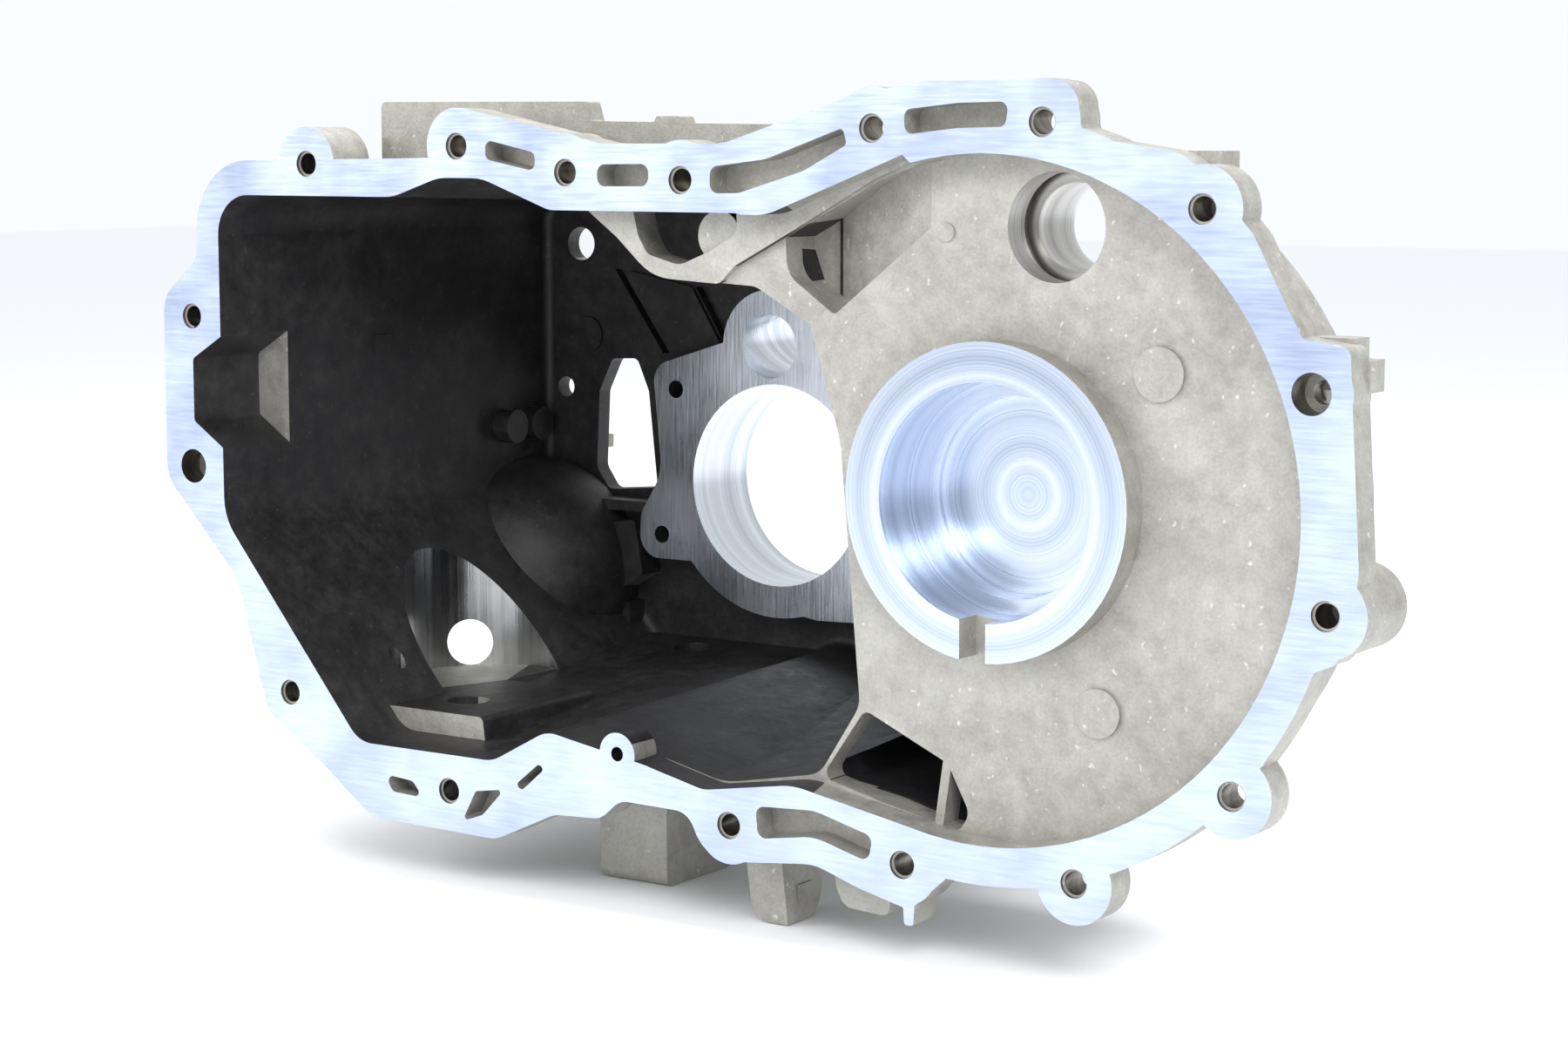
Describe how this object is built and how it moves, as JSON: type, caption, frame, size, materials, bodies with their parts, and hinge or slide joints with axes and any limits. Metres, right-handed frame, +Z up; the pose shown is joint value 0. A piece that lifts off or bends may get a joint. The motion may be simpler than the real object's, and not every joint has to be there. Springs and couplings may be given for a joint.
{
  "type": "gearbox housing",
  "caption": "Die-cast aluminium gearbox housing half with a deep gear chamber, a round differential wall and a machined joint flange.",
  "frame": {"origin": "centre of the differential bearing seat's mouth", "axes": "+Z up as the housing rests on its feet, -Y out of the joint face, +X from the gear chamber to the differential"},
  "size_m": [0.4569, 0.201, 0.2685],
  "materials": {
    "cast_aluminium": "fine as-cast skin, machined satin on the joint face, seats and bores"
  },
  "bodies": {
    "root": {"gearbox_housing": "cast_aluminium"}
  },
  "joints": []
}
